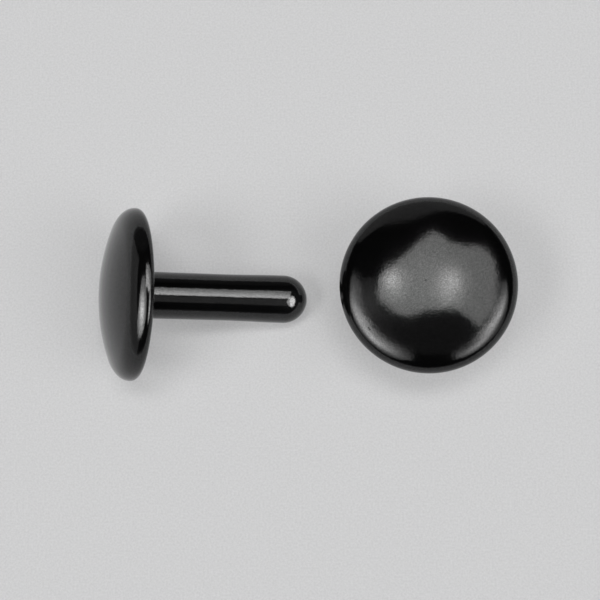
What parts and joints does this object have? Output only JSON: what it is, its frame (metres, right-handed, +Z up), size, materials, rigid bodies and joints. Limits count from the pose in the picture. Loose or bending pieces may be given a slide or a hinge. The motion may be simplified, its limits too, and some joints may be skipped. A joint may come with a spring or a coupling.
{
  "type": "double cap rivet",
  "caption": "Double cap rivet for leather and cloth: a capped stud with a round-tipped hollow post, and a capped socket with an open barrel, loose as before setting.",
  "frame": {"origin": "on the table under the middle of the pair's bounding box", "axes": "+X along the row of the two halves, from the stud half to the socket half; +Z up"},
  "size_m": [0.022, 0.0092, 0.0085],
  "materials": {
    "cap_coat": "gloss black plated finish",
    "tube_coat": "gloss black plated finish"
  },
  "bodies": {
    "root": {"stud_cap": "cap_coat", "stud_post": "tube_coat", "socket_cap": "cap_coat", "socket_barrel": "tube_coat"}
  },
  "joints": []
}
